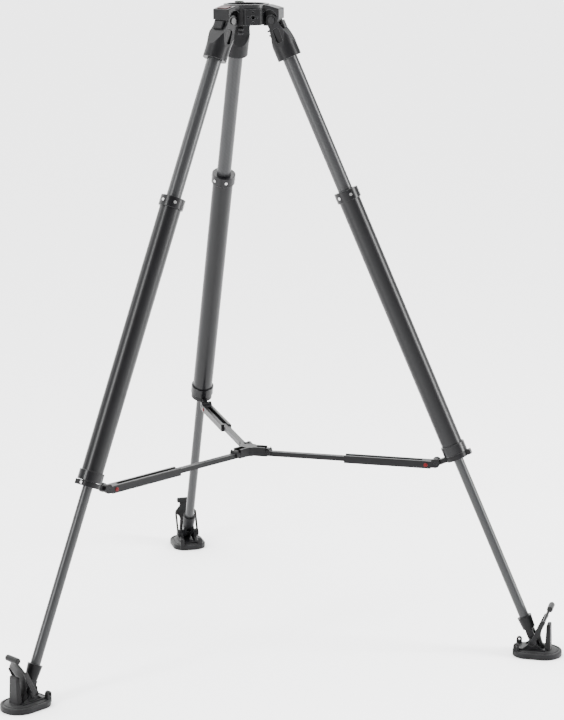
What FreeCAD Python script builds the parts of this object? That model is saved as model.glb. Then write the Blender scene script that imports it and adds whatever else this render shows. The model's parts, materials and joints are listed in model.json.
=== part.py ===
import FreeCAD, Part
import math
import os
from FreeCAD import Vector

# A three-legged video tripod, standing. Millimetres and degrees, +Z up.
# The origin is the centre of the bowl's rim, and the rear leg points along +Y.

# Stance
LEG_AZIMUTHS = {"left": 210.0, "right": 330.0, "rear": 90.0}
LEG_TILT = 23.6            # each leg from the vertical
PIVOT_OFFSET = 17.5        # leg hinge axis outside the bowl's wall
PIVOT_DEPTH = 30.5         # leg hinge axis below the bowl's rim

# Clearances
RUNNING_GAP = 0.05         # radial, a shaft in its bore or a tube in its guide
SLIDING_GAP = 0.3          # between the flat faces of moving pieces
SWING_GAP = 0.6            # between a swinging piece and the casting round it

# Crown
BOWL_RADIUS = 37.5
BOWL_LAND = 4.0            # straight wall at the bowl's mouth
RIM_WIDTH = 7.0
RIM_HEIGHT = 6.0
BOWL_HOLE_RADIUS = 22.0
CROWN_HEIGHT = 39.0
SHOULDER_WIDTH = 43.0
SHOULDER_OVERHANG = 15.0   # shoulder's outer face beyond the hinge axis
SHOULDER_DROP = 2.0        # shoulder's flat top below the rim
SHOULDER_FLAT_END = 7.0    # where its top starts to slope, inside the hinge axis
SHOULDER_SLOPE_END = 8.0   # depth of the outer edge below the rim
SHOULDER_BOTTOM = 28.0
SHOULDER_WALL = 3.4
ARCH_TOP = 10.5            # depth of the arch over the leg's knuckle
ARCH_INSET = 19.0
LUG_WIDTH = 25.6
LUG_RADIUS = 11.0
ACCESSORY_WIDTH = 34.0
ACCESSORY_REACH = 13.5     # accessory face outside the bowl's wall
ACCESSORY_TOP = 8.0
ACCESSORY_BORE_RADIUS = 3.97
ACCESSORY_BORE_DEPTH = 9.0
PIN_HOLE_RADIUS = 1.8
PIN_HOLE_CIRCLE = 9.5
LEVEL_RADIUS = 9.0
LEVEL_HEIGHT = 3.4
VIAL_RADIUS = 6.6
VIAL_HEIGHT = 2.2
LEVEL_OFFSET = 2.0
PLATE_LENGTH = 28.0
PLATE_DEPTH = 15.0
PLATE_THICKNESS = 1.2
AXLE_RADIUS = 4.0
AXLE_HEAD_RADIUS = 6.5
AXLE_HEAD_HEIGHT = 2.0

# Leg bracket, measured down the leg from the hinge axis
CHEEK_THICKNESS = 6.6
KNUCKLE_RADIUS = 11.0
SADDLE_STATION = 13.0
TAPER_START = 20.0
SOCKET_START = 54.0
BRACKET_END = 78.6
WAIST_RADIUS = 26.5
SOCKET_RADIUS = 23.5
WINDOW_DEPTH = 2.4
LATCH_WIDTH = 23.0
LATCH_TOP = 6.5
LATCH_BOTTOM = 22.0
LATCH_SEAT = 11.7
LATCH_THICKNESS = 5.0
LATCH_STEM_RADIUS = 2.5
LATCH_STEM_LENGTH = 8.0
CLIP_REACH = 20.0

# Tubes and collars
UPPER_TUBE_RADIUS = 14.5
UPPER_TUBE_WALL = 1.7
UPPER_TUBE_START = 42.0
UPPER_TUBE_END = 600.0
BUSH_LENGTH = 30.0
OUTER_TUBE_RADIUS = 21.0
OUTER_TUBE_WALL = 1.8
COLLAR_WALL = 3.25
TOP_COLLAR_START = 356.1
TOP_COLLAR_HEIGHT = 21.0
TOP_COLLAR_LIP = 5.0
SCREW_HEAD_RADIUS = 3.0
SCREW_HEAD_HEIGHT = 1.2
SCREW_SHANK_RADIUS = 1.5
SCREW_SHANK_LENGTH = 2.4
COLLAR_SCREWS = 6
LOCK_COLLAR_START = 898.4
LOCK_COLLAR_HEIGHT = 19.9
LOCK_COLLAR_FLOOR = 7.5
COLLET_LENGTH = 38.0
NECK_WALL = 3.25
LOWER_TUBE_RADIUS = 9.75
LOWER_TUBE_WALL = 1.5
LOWER_TUBE_START = 740.0

# Spreader
CLAMP_WALL = 1.5           # clamp ring outside the outer tube's surface
CLAMP_HEIGHT = 10.0
CLAMP_EAR_LENGTH = 7.5
CLAMP_EAR_WIDTH = 12.0
HINGE_REACH = 22.1         # arm hinge inward of the clamp ring
HINGE_DROP = 4.0           # arm hinge below the lock collar, along the leg
HINGE_PIN_RADIUS = 3.0
TONGUE_WIDTH = 10.0
TONGUE_RADIUS = 8.0
FORK_RADIUS = 9.0
ARM_WIDTH = 22.0
ARM_HEIGHT = 15.0
ARM_AXIS_DROP = 4.0        # the arm's centre line below its hinge
FORK_LENGTH = 10.0
END_BLOCK_LENGTH = 18.0
CHANNEL_LENGTH = 157.0
BAR_WIDTH = 12.0
BAR_HEIGHT = 9.4
BAR_SLOT_WIDTH = 9.0
BAR_LENGTH = 180.0
BUTTON_RADIUS = 4.2
BUTTON_PROUD = 1.4
BUTTON_SETBACK = 19.0
TRUNNION_CIRCLE = 38.0      # the bars' trunnions round the hub's centre
TRUNNION_RADIUS = 3.0
BAR_END_RADIUS = 6.6
HUB_CORE_RADIUS = 16.0
HUB_EAR_THICKNESS = 4.2
HUB_EAR_REACH = 45.0
HUB_HEIGHT = 18.0

# Foot and shoe
CUP_START = 1274.6
CUP_TOP_WALL = 4.75
CUP_BOTTOM_WALL = 2.75
CUP_DEPTH = 25.0
CUP_SOCKET_DEPTH = 22.0
FOOT_NECK = 26.0           # foot pivot below the cup
PRONG_OUTER = 12.0
PRONG_INNER = 5.5
PRONG_RADIUS = 7.0
SPIKE_RADIUS = 2.5
SPIKE_LENGTH = 11.5
SHOE_PIN_RADIUS = 3.0
FOOT_PIVOT_HEIGHT = 30.0   # above the floor
PAD_THICKNESS = 12.5
PAD_INNER = 39.0
PAD_OUTER = 56.0
PAD_HALF_WIDTH = 37.0
PAD_CORNER = 28.0
PAD_EDGE = 4.0
TAB_RADIUS = 5.5
TAB_HOLE_RADIUS = 2.4
TAB_INSET = 16.5
TAB_WIDTH = 9.0
TAB_HEIGHT = 14.0          # tab's hole above the sole
POST_START = 28.5
POST_THICKNESS = 8.0
POST_WIDTH = 22.0
POST_TOP = 36.0
CRADLE_BASE = 3.0
CRADLE_CHEEK = 6.0
CRADLE_BOSS_RADIUS = 8.5
CRADLE_BOSS_HEIGHT = 2.6
STRAP_THICKNESS = 6.5
STRAP_WIDTH = 20.0
GRIP_WIDTH = 34.0
GRIP_RADIUS = 6.0
BAND_THICKNESS = 3.6
BAND_WIDTH = 9.0
STRAP_ROUTE = [(22.0, -15.0), (14.5, -5.0), (12.0, 8.0), (15.5, 24.0), (35.5, 69.0)]
GRIP_AT = (38.0, 75.0)

# Worked out from the sizes above
CHEEK_INNER = LUG_WIDTH / 2 + SLIDING_GAP
CHEEK_OUTER = CHEEK_INNER + CHEEK_THICKNESS
RIM_RADIUS = BOWL_RADIUS + RIM_WIDTH
PIVOT_RADIUS = BOWL_RADIUS + PIVOT_OFFSET
SHOULDER_REACH = PIVOT_RADIUS + SHOULDER_OVERHANG
SHOULDER_BREAK = PIVOT_RADIUS - SHOULDER_FLAT_END
ARCH_INNER = PIVOT_RADIUS - ARCH_INSET
ACCESSORY_FACE = BOWL_RADIUS + ACCESSORY_REACH
LEVEL_CENTRE = PIVOT_RADIUS + LEVEL_OFFSET
COLLAR_RADIUS = OUTER_TUBE_RADIUS + COLLAR_WALL
CLAMP_RADIUS = OUTER_TUBE_RADIUS + CLAMP_WALL
CLAMP_EAR_REACH = CLAMP_RADIUS + CLAMP_EAR_LENGTH
HINGE_OFFSET = CLAMP_RADIUS + HINGE_REACH
NECK_RADIUS = LOWER_TUBE_RADIUS + NECK_WALL
CUP_TOP_RADIUS = LOWER_TUBE_RADIUS + CUP_TOP_WALL
CUP_BOTTOM_RADIUS = LOWER_TUBE_RADIUS + CUP_BOTTOM_WALL
FOOT_PIVOT_STATION = CUP_START + CUP_DEPTH + FOOT_NECK
UPPER_BORE = UPPER_TUBE_RADIUS - UPPER_TUBE_WALL
OUTER_BORE = OUTER_TUBE_RADIUS - OUTER_TUBE_WALL
OUTER_TUBE_START = TOP_COLLAR_START + TOP_COLLAR_LIP
LOCK_COLLAR_END = LOCK_COLLAR_START + LOCK_COLLAR_HEIGHT
OUTER_TUBE_END = LOCK_COLLAR_END - LOCK_COLLAR_FLOOR - SLIDING_GAP
CLAMP_START = LOCK_COLLAR_END + SWING_GAP
HINGE_STATION = LOCK_COLLAR_END + HINGE_DROP
CUP_SOCKET_END = CUP_START + CUP_SOCKET_DEPTH
TILT = math.radians(LEG_TILT)
CAVITY_WIDTH = BAR_WIDTH + 2 * SLIDING_GAP
CAVITY_HEIGHT = BAR_HEIGHT + 2 * SLIDING_GAP
CHANNEL_START = FORK_LENGTH + END_BLOCK_LENGTH
FLOOR = -FOOT_PIVOT_HEIGHT
PAD_TOP = FLOOR + PAD_THICKNESS
CHEEK_GAP_IN_SHOE = PRONG_OUTER + 0.4


def radial_point(outward, station):
    """A leg's own point (outward of its axis, down from its hinge) as (radius, height)."""
    radius = PIVOT_RADIUS + outward * math.cos(TILT) + station * math.sin(TILT)
    height = -PIVOT_DEPTH + outward * math.sin(TILT) - station * math.cos(TILT)
    return radius, height


HINGE_RADIUS, HINGE_HEIGHT = radial_point(-HINGE_OFFSET, HINGE_STATION)
FOOT_RADIUS, FOOT_HEIGHT = radial_point(0, FOOT_PIVOT_STATION)
BAR_TIP = HINGE_RADIUS - TRUNNION_CIRCLE


def box(x0, x1, y0, y1, z0, z1):
    return Part.makeBox(x1 - x0, y1 - y0, z1 - z0, Vector(x0, y0, z0))


def tube_z(radius, z0, z1, bore=0.0):
    """A cylinder or a sleeve along Z."""
    solid = Part.makeCylinder(radius, z1 - z0, Vector(0, 0, z0))
    if bore:
        solid = solid.cut(Part.makeCylinder(bore, z1 - z0 + 2, Vector(0, 0, z0 - 1)))
    return solid


def rod_y(radius, y0, y1, x=0.0, z=0.0):
    """A cylinder along the hinge axis."""
    return Part.makeCylinder(radius, y1 - y0, Vector(x, y0, z), Vector(0, 1, 0))


def pair_y(radius, inner, outer, x=0.0, z=0.0):
    """Two cylinders along the hinge axis, one each side."""
    return rod_y(radius, inner, outer, x, z).fuse(rod_y(radius, -outer, -inner, x, z))


def pair_of_boxes(x0, x1, inner, outer, z0, z1):
    return box(x0, x1, inner, outer, z0, z1).fuse(box(x0, x1, -outer, -inner, z0, z1))


def slab_xz(points, y0, y1):
    """A flat outline of (x, z) points, extruded along the hinge axis."""
    corners = [Vector(x, y0, z) for x, z in points]
    face = Part.Face(Part.makePolygon(corners + corners[:1]))
    return face.extrude(Vector(0, y1 - y0, 0))


def slab_yz(points, x0, x1):
    """A flat outline of (y, z) points, extruded outwards."""
    corners = [Vector(x0, y, z) for y, z in points]
    face = Part.Face(Part.makePolygon(corners + corners[:1]))
    return face.extrude(Vector(x1 - x0, 0, 0))


def fuse_all(shapes):
    return shapes[0].multiFuse(shapes[1:]).removeSplitter()


def on_leg(shape, azimuth):
    """From a leg's own frame, with its hinge at the origin and the leg down -Z, to its place."""
    placed = shape.copy()
    placed.rotate(Vector(0, 0, 0), Vector(0, 1, 0), -LEG_TILT)
    placed.translate(Vector(PIVOT_RADIUS, 0, -PIVOT_DEPTH))
    placed.rotate(Vector(0, 0, 0), Vector(0, 0, 1), azimuth)
    return placed


def at_radius(shape, azimuth, radius=0.0, height=0.0):
    """From a level frame with +X outwards to its place round the centre line."""
    placed = shape.copy()
    placed.translate(Vector(radius, 0, height))
    placed.rotate(Vector(0, 0, 0), Vector(0, 0, 1), azimuth)
    return placed


def shoulder():
    """One shoulder of the crown, with an arch each side of the lug that holds the hinge."""
    outline = [
        (BOWL_RADIUS - RIM_WIDTH, -SHOULDER_DROP),
        (SHOULDER_BREAK, -SHOULDER_DROP),
        (SHOULDER_REACH, -SHOULDER_SLOPE_END),
        (SHOULDER_REACH, -SHOULDER_BOTTOM),
        (BOWL_RADIUS - RIM_WIDTH, -SHOULDER_BOTTOM),
    ]
    half = SHOULDER_WIDTH / 2
    body = slab_xz(outline, -half, half)
    body = body.makeFillet(2.5, [e for e in body.Edges if is_outer_edge(e, half)])
    arch_outer = SHOULDER_REACH - SHOULDER_WALL
    arch_radius = (arch_outer - ARCH_INNER) / 2
    arch_x = (arch_outer + ARCH_INNER) / 2
    arch_z = -ARCH_TOP - arch_radius
    lug_half = LUG_WIDTH / 2
    deep = -2 * SHOULDER_BOTTOM
    arch = pair_y(arch_radius, lug_half, SHOULDER_WIDTH, arch_x, arch_z)
    below = pair_of_boxes(ARCH_INNER, arch_outer, lug_half, SHOULDER_WIDTH, deep, arch_z)
    body = body.cut(arch).cut(below)
    lug = rod_y(LUG_RADIUS, -lug_half, lug_half, PIVOT_RADIUS, -PIVOT_DEPTH)
    root = box(
        BOWL_RADIUS, PIVOT_RADIUS, -lug_half, lug_half,
        -PIVOT_DEPTH - LUG_RADIUS, -SHOULDER_BOTTOM + 1,
    )
    axle_hole = rod_y(AXLE_RADIUS, -SHOULDER_WIDTH, SHOULDER_WIDTH, PIVOT_RADIUS, -PIVOT_DEPTH)
    return fuse_all([body, lug, root]).cut(axle_hole)


def is_outer_edge(edge, half):
    """The long edges of a shoulder's outer and sloping faces."""
    box_of = edge.BoundBox
    on_face = box_of.XMin > SHOULDER_BREAK - 1
    return on_face and box_of.ZMax > -SHOULDER_BOTTOM + 1 and edge.Length > 5


def accessory_boss():
    """The block between the two front legs with a threaded hole for an arm."""
    half = ACCESSORY_WIDTH / 2
    body = box(BOWL_RADIUS - 6, ACCESSORY_FACE, -half, half, -CROWN_HEIGHT, -ACCESSORY_TOP)
    edges = [
        e for e in body.Edges
        if e.BoundBox.XMin > ACCESSORY_FACE - 1 and e.BoundBox.ZLength > 1
    ]
    return body.makeFillet(4.0, edges)


def accessory_holes():
    """The threaded hole, and the pin holes round it that stop an arm from turning."""
    middle = -(ACCESSORY_TOP + CROWN_HEIGHT) / 2
    start = ACCESSORY_FACE - ACCESSORY_BORE_DEPTH
    along = Vector(1, 0, 0)
    holes = [Part.makeCylinder(ACCESSORY_BORE_RADIUS, 20, Vector(start, 0, middle), along)]
    for step in range(4):
        turn = math.radians(90 * step)
        spot = Vector(
            ACCESSORY_FACE - 4,
            PIN_HOLE_CIRCLE * math.cos(turn),
            middle + PIN_HOLE_CIRCLE * math.sin(turn),
        )
        holes.append(Part.makeCylinder(PIN_HOLE_RADIUS, 20, spot, along))
    return holes[0].multiFuse(holes[1:])


def level_seat():
    """The flat pad for the spirit level on the rear shoulder."""
    seat = tube_z(LEVEL_RADIUS + 1.5, -SHOULDER_SLOPE_END - 3, -SHOULDER_DROP)
    return at_radius(seat, LEG_AZIMUTHS["rear"], LEVEL_CENTRE)


def crown_casting():
    ring = tube_z(RIM_RADIUS, -CROWN_HEIGHT, -RIM_HEIGHT)
    arms = [at_radius(shoulder(), a) for a in LEG_AZIMUTHS.values()]
    front = at_radius(accessory_boss(), 270)
    body = fuse_all([ring] + arms + [front, level_seat()])
    body = body.cut(tube_z(RIM_RADIUS, -RIM_HEIGHT, 5))
    body = body.cut(Part.makeSphere(BOWL_RADIUS, Vector(0, 0, -BOWL_LAND)))
    body = body.cut(tube_z(BOWL_HOLE_RADIUS, -2 * CROWN_HEIGHT, 1))
    body = body.cut(at_radius(accessory_holes(), 270))
    return body


def bowl_ring():
    """The machined rim of the bowl: a straight land, then the start of the ball's seat."""
    ring = tube_z(RIM_RADIUS, -RIM_HEIGHT, 0)
    ring = ring.makeChamfer(0.8, [e for e in ring.Edges if e.BoundBox.ZMin > -0.1 and e.Closed])
    ring = ring.cut(tube_z(BOWL_RADIUS, -BOWL_LAND, 1))
    return ring.cut(Part.makeSphere(BOWL_RADIUS, Vector(0, 0, -BOWL_LAND)))


def leg_axles():
    """Three headed hinge axles, each through its lug and both cheeks of a bracket."""
    head_start = CHEEK_OUTER + SLIDING_GAP
    head_end = head_start + AXLE_HEAD_HEIGHT
    axle = rod_y(AXLE_RADIUS, -head_start - 1, head_start + 1)
    heads = pair_y(AXLE_HEAD_RADIUS, head_start, head_end)
    whole = fuse_all([axle, heads])
    return Part.makeCompound(
        [at_radius(whole, a, PIVOT_RADIUS, -PIVOT_DEPTH) for a in LEG_AZIMUTHS.values()]
    )


def level_body():
    cup = tube_z(LEVEL_RADIUS, -SHOULDER_DROP, LEVEL_HEIGHT - SHOULDER_DROP)
    pocket = tube_z(VIAL_RADIUS, LEVEL_HEIGHT - SHOULDER_DROP - VIAL_HEIGHT, LEVEL_HEIGHT)
    return at_radius(cup.cut(pocket), LEG_AZIMUTHS["rear"], LEVEL_CENTRE)


def level_vial():
    top = LEVEL_HEIGHT - SHOULDER_DROP
    vial = tube_z(VIAL_RADIUS, top - VIAL_HEIGHT, top + 0.4)
    return at_radius(vial, LEG_AZIMUTHS["rear"], LEVEL_CENTRE)


def badge_plate():
    """A plain plate on the sloping top of the left shoulder."""
    run = SHOULDER_REACH - SHOULDER_BREAK
    fall = SHOULDER_SLOPE_END - SHOULDER_DROP
    slope = math.degrees(math.atan2(fall, run))
    half = PLATE_LENGTH / 2
    plate = box(-PLATE_DEPTH / 2, PLATE_DEPTH / 2, -half, half, 0, PLATE_THICKNESS)
    plate = plate.makeFillet(2.0, [e for e in plate.Edges if e.BoundBox.ZLength > 1])
    plate.rotate(Vector(0, 0, 0), Vector(0, 1, 0), slope)
    middle = (SHOULDER_REACH + SHOULDER_BREAK) / 2
    return at_radius(plate, LEG_AZIMUTHS["left"], middle, -SHOULDER_DROP - fall / 2)


def bracket():
    """A leg's top bracket: two cheeks on the hinge, a waist, and a round socket."""
    front = [
        (-CHEEK_OUTER, KNUCKLE_RADIUS), (CHEEK_OUTER, KNUCKLE_RADIUS),
        (CHEEK_OUTER, -TAPER_START), (SOCKET_RADIUS, -SOCKET_START),
        (-SOCKET_RADIUS, -SOCKET_START), (-CHEEK_OUTER, -TAPER_START),
    ]
    side = [
        (-KNUCKLE_RADIUS, 0), (KNUCKLE_RADIUS, 0), (KNUCKLE_RADIUS, -SADDLE_STATION),
        (17.0, -32.0), (SOCKET_RADIUS, -SOCKET_START), (-SOCKET_RADIUS, -SOCKET_START),
        (-14.5, -32.0), (-KNUCKLE_RADIUS, -SADDLE_STATION),
    ]
    round_waist = Part.makeCone(
        SOCKET_RADIUS, WAIST_RADIUS, SOCKET_START - SADDLE_STATION,
        Vector(0, 0, -SOCKET_START), Vector(0, 0, 1),
    )
    round_waist = round_waist.fuse(tube_z(WAIST_RADIUS, -SADDLE_STATION, KNUCKLE_RADIUS))
    waist = slab_yz(front, -40, 40).common(slab_xz(side, -40, 40)).common(round_waist)
    knuckle = rod_y(KNUCKLE_RADIUS, -CHEEK_OUTER, CHEEK_OUTER)
    socket = tube_z(SOCKET_RADIUS, -BRACKET_END, -SOCKET_START)
    clip = fuse_all([
        box(-CLIP_REACH + 4, -KNUCKLE_RADIUS + 1, -5, 5, -27, -15),
        box(-CLIP_REACH, -KNUCKLE_RADIUS, -5, 5, -18, -15),
        box(-CLIP_REACH, -KNUCKLE_RADIUS, -5, 5, -27, -24),
    ])
    body = fuse_all([waist, knuckle, socket, clip])
    saddle = box(-40, 40, -CHEEK_INNER, CHEEK_INNER, -SADDLE_STATION, 40)
    tube_bore = tube_z(UPPER_TUBE_RADIUS, -BRACKET_END - 1, -UPPER_TUBE_START)
    window_floor = CHEEK_OUTER - WINDOW_DEPTH
    windows = pair_of_boxes(-6.5, 6.5, window_floor, 40, -46, -17)
    windows = windows.makeFillet(4.0, [e for e in windows.Edges if e.BoundBox.YLength > 5])
    latch_half = LATCH_WIDTH / 2 + SLIDING_GAP
    latch_seat = box(LATCH_SEAT, 40, -latch_half, latch_half, -LATCH_BOTTOM - SLIDING_GAP, 40)
    stem_bore = latch_stem(RUNNING_GAP, 1.0)
    axle_bore = rod_y(AXLE_RADIUS + RUNNING_GAP, -40, 40)
    for hollow in (saddle, tube_bore, windows, latch_seat, stem_bore, axle_bore):
        body = body.cut(hollow)
    return body


def latch_stem(gap=0.0, extra=0.0):
    """The angle latch's stem, or with a gap the bore that it slides in."""
    station = (SADDLE_STATION + LATCH_BOTTOM) / 2
    start = LATCH_SEAT + SLIDING_GAP + 0.5 - LATCH_STEM_LENGTH - extra
    length = LATCH_STEM_LENGTH + extra + 0.5
    return Part.makeCylinder(
        LATCH_STEM_RADIUS + gap, length, Vector(start, 0, -station), Vector(1, 0, 0)
    )


def angle_latch():
    """The sprung tab that sets how far a leg opens."""
    half = LATCH_WIDTH / 2
    inner = LATCH_SEAT + SLIDING_GAP
    plate = box(inner, inner + LATCH_THICKNESS, -half, half, -LATCH_BOTTOM, -LATCH_TOP)
    plate = plate.makeFillet(1.5, [e for e in plate.Edges if e.BoundBox.XMin > inner + 1])
    return plate.fuse(latch_stem()).removeSplitter()


def upper_tube():
    """The thin upper tube, with the slider bush bonded round its lower end."""
    tube = tube_z(UPPER_TUBE_RADIUS, -UPPER_TUBE_END, -UPPER_TUBE_START, UPPER_BORE)
    bush_radius = OUTER_BORE - RUNNING_GAP
    bush = tube_z(bush_radius, -UPPER_TUBE_END, -UPPER_TUBE_END + BUSH_LENGTH, UPPER_BORE)
    return tube.fuse(bush).removeSplitter()


def screw(head_radius=SCREW_HEAD_RADIUS):
    """A small cap screw along +X, its head's seat at the origin."""
    along = Vector(1, 0, 0)
    head = Part.makeCylinder(head_radius, SCREW_HEAD_HEIGHT, Vector(0, 0, 0), along)
    shank = Part.makeCylinder(
        SCREW_SHANK_RADIUS, SCREW_SHANK_LENGTH + 0.5, Vector(-SCREW_SHANK_LENGTH, 0, 0), along
    )
    return head.fuse(shank).removeSplitter()


def collar_screws():
    """The screws round the top collar, and the one that closes the spreader's clamp."""
    height = -TOP_COLLAR_START - TOP_COLLAR_HEIGHT / 2
    seat = COLLAR_RADIUS - 0.4
    screws = []
    for step in range(COLLAR_SCREWS):
        one = screw()
        one.translate(Vector(seat, 0, height))
        one.rotate(Vector(0, 0, 0), Vector(0, 0, 1), 360 * step / COLLAR_SCREWS)
        screws.append(one)
    closing = screw()
    closing.rotate(Vector(0, 0, 0), Vector(0, 0, 1), 90)
    ear_middle = (CLAMP_RADIUS + CLAMP_EAR_REACH) / 2
    closing.translate(Vector(ear_middle, CLAMP_EAR_WIDTH / 2, -CLAMP_START - CLAMP_HEIGHT / 2))
    return Part.makeCompound(screws + [closing])


def top_collar():
    """The collar that joins the outer tube to the upper one and guides it."""
    collar = tube_z(COLLAR_RADIUS, -TOP_COLLAR_START - TOP_COLLAR_HEIGHT, -TOP_COLLAR_START)
    rims = [e for e in collar.Edges if e.Closed]
    collar = collar.makeChamfer(0.8, rims)
    guide = tube_z(UPPER_TUBE_RADIUS + RUNNING_GAP, -TOP_COLLAR_START - 40, 0)
    seat = tube_z(OUTER_TUBE_RADIUS, -TOP_COLLAR_START - 40, -OUTER_TUBE_START)
    return collar.cut(guide).cut(seat).cut(collar_screws())


def outer_tube():
    tube = tube_z(OUTER_TUBE_RADIUS, -OUTER_TUBE_END, -OUTER_TUBE_START, OUTER_BORE)
    return tube.cut(collar_screws())


def lock_collet():
    """The sleeve fixed in the outer tube's end that grips and guides the lower tube."""
    bore = LOWER_TUBE_RADIUS + RUNNING_GAP
    sleeve = tube_z(OUTER_BORE, -OUTER_TUBE_END, -OUTER_TUBE_END + COLLET_LENGTH, bore)
    neck_end = CLAMP_START + CLAMP_HEIGHT
    neck = tube_z(NECK_RADIUS, -neck_end, -OUTER_TUBE_END, bore)
    return sleeve.fuse(neck).removeSplitter()


def lock_collar():
    """The twist collar that locks both extensions of the leg."""
    collar = tube_z(COLLAR_RADIUS, -LOCK_COLLAR_END, -LOCK_COLLAR_START)
    collar = collar.makeChamfer(0.8, [e for e in collar.Edges if e.Closed])
    floor_top = -LOCK_COLLAR_END + LOCK_COLLAR_FLOOR
    cup = tube_z(OUTER_TUBE_RADIUS + RUNNING_GAP, floor_top, 0)
    throat = tube_z(NECK_RADIUS + RUNNING_GAP, -LOCK_COLLAR_END - 1, 0)
    return collar.cut(cup).cut(throat)


def spreader_clamp():
    """The ring under the lock collar, with a closing ear outside and the arm's hinge inside."""
    low = -CLAMP_START - CLAMP_HEIGHT
    ring = tube_z(CLAMP_RADIUS, low, -CLAMP_START)
    half_ear = CLAMP_EAR_WIDTH / 2
    ear = box(CLAMP_RADIUS - 4, CLAMP_EAR_REACH, -half_ear, half_ear, low, -CLAMP_START)
    half = TONGUE_WIDTH / 2
    tongue = box(-HINGE_OFFSET, -CLAMP_RADIUS + 4, -half, half, low, -CLAMP_START)
    knuckle = rod_y(TONGUE_RADIUS, -half, half, -HINGE_OFFSET, -HINGE_STATION)
    pin_end = ARM_WIDTH / 2 - 0.5
    pin = rod_y(HINGE_PIN_RADIUS, -pin_end, pin_end, -HINGE_OFFSET, -HINGE_STATION)
    body = fuse_all([ring, ear, tongue, knuckle, pin])
    slit = box(NECK_RADIUS - 1, CLAMP_EAR_REACH + 1, -0.6, 0.6, low - 1, -CLAMP_START + 1)
    return body.cut(tube_z(NECK_RADIUS, low - 1, 0)).cut(slit).cut(collar_screws())


def lower_tube():
    bore = LOWER_TUBE_RADIUS - LOWER_TUBE_WALL
    return tube_z(LOWER_TUBE_RADIUS, -CUP_SOCKET_END, -LOWER_TUBE_START, bore)


def foot_cup():
    """The foot: a socket for the tube, two prongs on the shoe's pin, and twin spikes."""
    cup_end = CUP_START + CUP_DEPTH
    along = Vector(0, 0, 1)
    cup = Part.makeCone(
        CUP_BOTTOM_RADIUS, CUP_TOP_RADIUS, CUP_DEPTH, Vector(0, 0, -cup_end), along
    )
    neck = tube_z(CUP_BOTTOM_RADIUS, -cup_end - 8, -cup_end)
    neck = neck.common(box(-PRONG_RADIUS, PRONG_RADIUS, -20, 20, -cup_end - 8, -cup_end))
    prongs = pair_of_boxes(
        -PRONG_RADIUS, PRONG_RADIUS, PRONG_INNER, PRONG_OUTER, -FOOT_PIVOT_STATION, -cup_end - 4
    )
    ends = pair_y(PRONG_RADIUS, PRONG_INNER, PRONG_OUTER, 0, -FOOT_PIVOT_STATION)
    spikes = []
    middle = (PRONG_INNER + PRONG_OUTER) / 2
    for side in (-1, 1):
        tip = Vector(0, side * middle, -FOOT_PIVOT_STATION - SPIKE_LENGTH)
        spikes.append(Part.makeCone(0.4, SPIKE_RADIUS, SPIKE_LENGTH - SHOE_PIN_RADIUS - 1, tip, along))
    body = fuse_all([cup, neck, prongs, ends] + spikes)
    socket = tube_z(LOWER_TUBE_RADIUS, -CUP_SOCKET_END, 0)
    pin_bore = rod_y(SHOE_PIN_RADIUS + RUNNING_GAP, -30, 30, 0, -FOOT_PIVOT_STATION)
    return body.cut(socket).cut(pin_bore)


def pad_outline(height):
    """The shoe's outline: square corners rounded towards the tripod, a half round away from it."""
    corner_x = -PAD_INNER + PAD_CORNER
    corner_y = PAD_HALF_WIDTH - PAD_CORNER
    round_x = PAD_OUTER - PAD_HALF_WIDTH
    slant = PAD_CORNER * math.sqrt(0.5)

    def spot(x, y):
        return Vector(x, y, height)

    near = [spot(-PAD_INNER, -corner_y), spot(-PAD_INNER, corner_y)]
    far = [spot(round_x, PAD_HALF_WIDTH), spot(round_x, -PAD_HALF_WIDTH)]
    sides = [spot(corner_x, PAD_HALF_WIDTH), spot(corner_x, -PAD_HALF_WIDTH)]
    first = Part.Arc(near[1], spot(corner_x - slant, corner_y + slant), sides[0])
    end = Part.Arc(far[0], spot(PAD_OUTER, 0), far[1])
    last = Part.Arc(sides[1], spot(corner_x - slant, -corner_y - slant), near[0])
    edges = [
        Part.LineSegment(near[0], near[1]).toShape(), first.toShape(),
        Part.LineSegment(sides[0], far[0]).toShape(), end.toShape(),
        Part.LineSegment(far[1], sides[1]).toShape(), last.toShape(),
    ]
    return Part.Wire(edges)


def shoe_pad():
    """The rubber shoe: a thick sole, two tabs towards the tripod and a post away from it."""
    sole = Part.Face(pad_outline(FLOOR)).extrude(Vector(0, 0, PAD_THICKNESS))
    top_edges = [e for e in sole.Edges if e.BoundBox.ZMin > PAD_TOP - 0.1]
    sole = sole.makeFillet(PAD_EDGE, top_edges)
    tab_x = -PAD_INNER + TAB_RADIUS - 2.0
    tab_z = PAD_TOP + TAB_HEIGHT
    tab_end = TAB_INSET + TAB_WIDTH
    eyes = pair_y(TAB_RADIUS, TAB_INSET, tab_end, tab_x, tab_z)
    stems = pair_of_boxes(
        tab_x - TAB_RADIUS, tab_x + TAB_RADIUS, TAB_INSET, tab_end, FLOOR + PAD_EDGE, tab_z
    )
    holes = pair_y(TAB_HOLE_RADIUS, TAB_INSET - 1, tab_end + 1, tab_x, tab_z)
    half = POST_WIDTH / 2
    post = box(POST_START, POST_START + POST_THICKNESS, -half, half, PAD_TOP - 4, POST_TOP)
    post = post.makeFillet(3.0, [e for e in post.Edges if e.BoundBox.ZMax > PAD_TOP + 4])
    return fuse_all([sole, eyes, stems, post]).cut(holes)


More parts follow.
